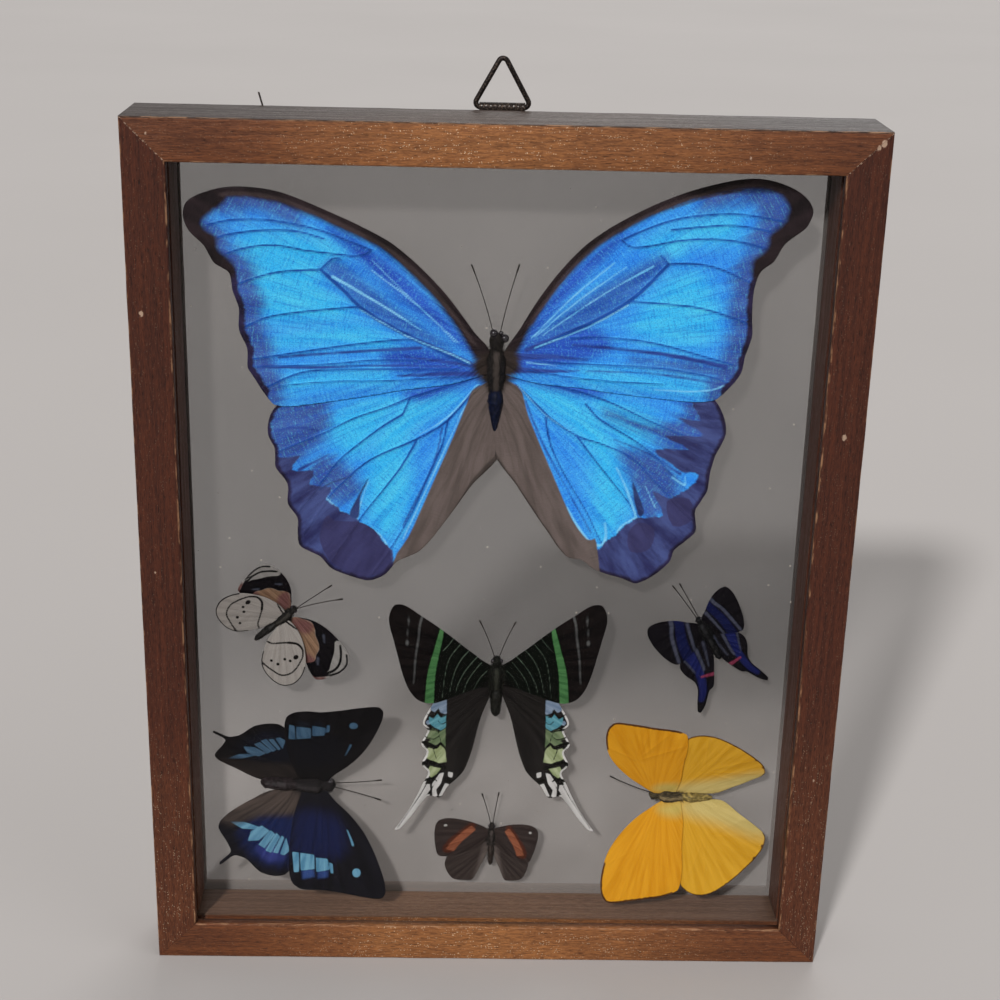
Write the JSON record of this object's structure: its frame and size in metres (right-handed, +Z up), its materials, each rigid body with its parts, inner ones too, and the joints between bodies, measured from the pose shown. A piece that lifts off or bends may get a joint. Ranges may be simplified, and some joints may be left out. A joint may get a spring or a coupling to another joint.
{
  "type": "framed butterfly specimens",
  "caption": "Wooden shadow frame with clear panes on both faces and dried butterflies and moths spread between them, with a wire hanger.",
  "frame": {"origin": "middle of the frame's base, at half its depth", "axes": "+Z up along the frame's height, +Y towards the back, +X to the viewer's right"},
  "size_m": [0.19, 0.0269, 0.2535],
  "materials": {
    "wood_golden": "stained and varnished, golden brown",
    "wood_red": "stained and varnished, red brown",
    "clear_glass": "clear, a little dusty",
    "dark_steel": "blackened, satin",
    "nail_steel": "dull",
    "morpho_wing": "scaled insect wing",
    "morpho_hair": "hairy insect body",
    "white_dotted_wing": "scaled insect wing",
    "white_dotted_hair": "hairy insect body",
    "green_urania_wing": "scaled insect wing",
    "green_urania_hair": "hairy insect body",
    "tailed_metalmark_wing": "scaled insect wing",
    "tailed_metalmark_hair": "hairy insect body",
    "blue_banded_wing": "scaled insect wing",
    "blue_banded_hair": "hairy insect body",
    "orange_banded_wing": "scaled insect wing",
    "orange_banded_hair": "hairy insect body",
    "yellow_sulphur_wing": "scaled insect wing",
    "yellow_sulphur_hair": "hairy insect body"
  },
  "bodies": {
    "frame": {"rail_top": "wood_golden", "rail_bottom": "wood_golden", "rail_left": "wood_red", "rail_right": "wood_red", "glass_front": "clear_glass", "glass_back": "clear_glass", "hanger_strap": "dark_steel", "hanger_nail": "nail_steel", "bent_pin": "nail_steel", "morpho_body": "morpho_hair", "morpho_forewing_left": "morpho_wing", "morpho_forewing_right": "morpho_wing", "morpho_hindwing_left": "morpho_wing", "morpho_hindwing_right": "morpho_wing", "white_dotted_body": "white_dotted_hair", "white_dotted_forewing_left": "white_dotted_wing", "white_dotted_forewing_right": "white_dotted_wing", "white_dotted_hindwing_left": "white_dotted_wing", "white_dotted_hindwing_right": "white_dotted_wing", "green_urania_body": "green_urania_hair", "green_urania_forewing_left": "green_urania_wing", "green_urania_forewing_right": "green_urania_wing", "green_urania_hindwing_left": "green_urania_wing", "green_urania_hindwing_right": "green_urania_wing", "tailed_metalmark_body": "tailed_metalmark_hair", "tailed_metalmark_forewing_left": "tailed_metalmark_wing", "tailed_metalmark_forewing_right": "tailed_metalmark_wing", "tailed_metalmark_hindwing_left": "tailed_metalmark_wing", "tailed_metalmark_hindwing_right": "tailed_metalmark_wing", "blue_banded_body": "blue_banded_hair", "blue_banded_forewing_left": "blue_banded_wing", "blue_banded_forewing_right": "blue_banded_wing", "blue_banded_hindwing_left": "blue_banded_wing", "blue_banded_hindwing_right": "blue_banded_wing", "orange_banded_body": "orange_banded_hair", "orange_banded_forewing_left": "orange_banded_wing", "orange_banded_forewing_right": "orange_banded_wing", "orange_banded_hindwing_left": "orange_banded_wing", "orange_banded_hindwing_right": "orange_banded_wing", "yellow_sulphur_body": "yellow_sulphur_hair", "yellow_sulphur_forewing_left": "yellow_sulphur_wing", "yellow_sulphur_forewing_right": "yellow_sulphur_wing", "yellow_sulphur_hindwing_left": "yellow_sulphur_wing", "yellow_sulphur_hindwing_right": "yellow_sulphur_wing"},
    "ring": {"hanger_ring": "dark_steel"}
  },
  "joints": [
    {"name": "ring_hinge", "type": "hinge", "parent": "frame", "child": "ring", "pos_m": [-0.0011, 0.0136, 0.2405], "axis": [1, 0, 0], "range_deg": [-150, 80]}
  ]
}
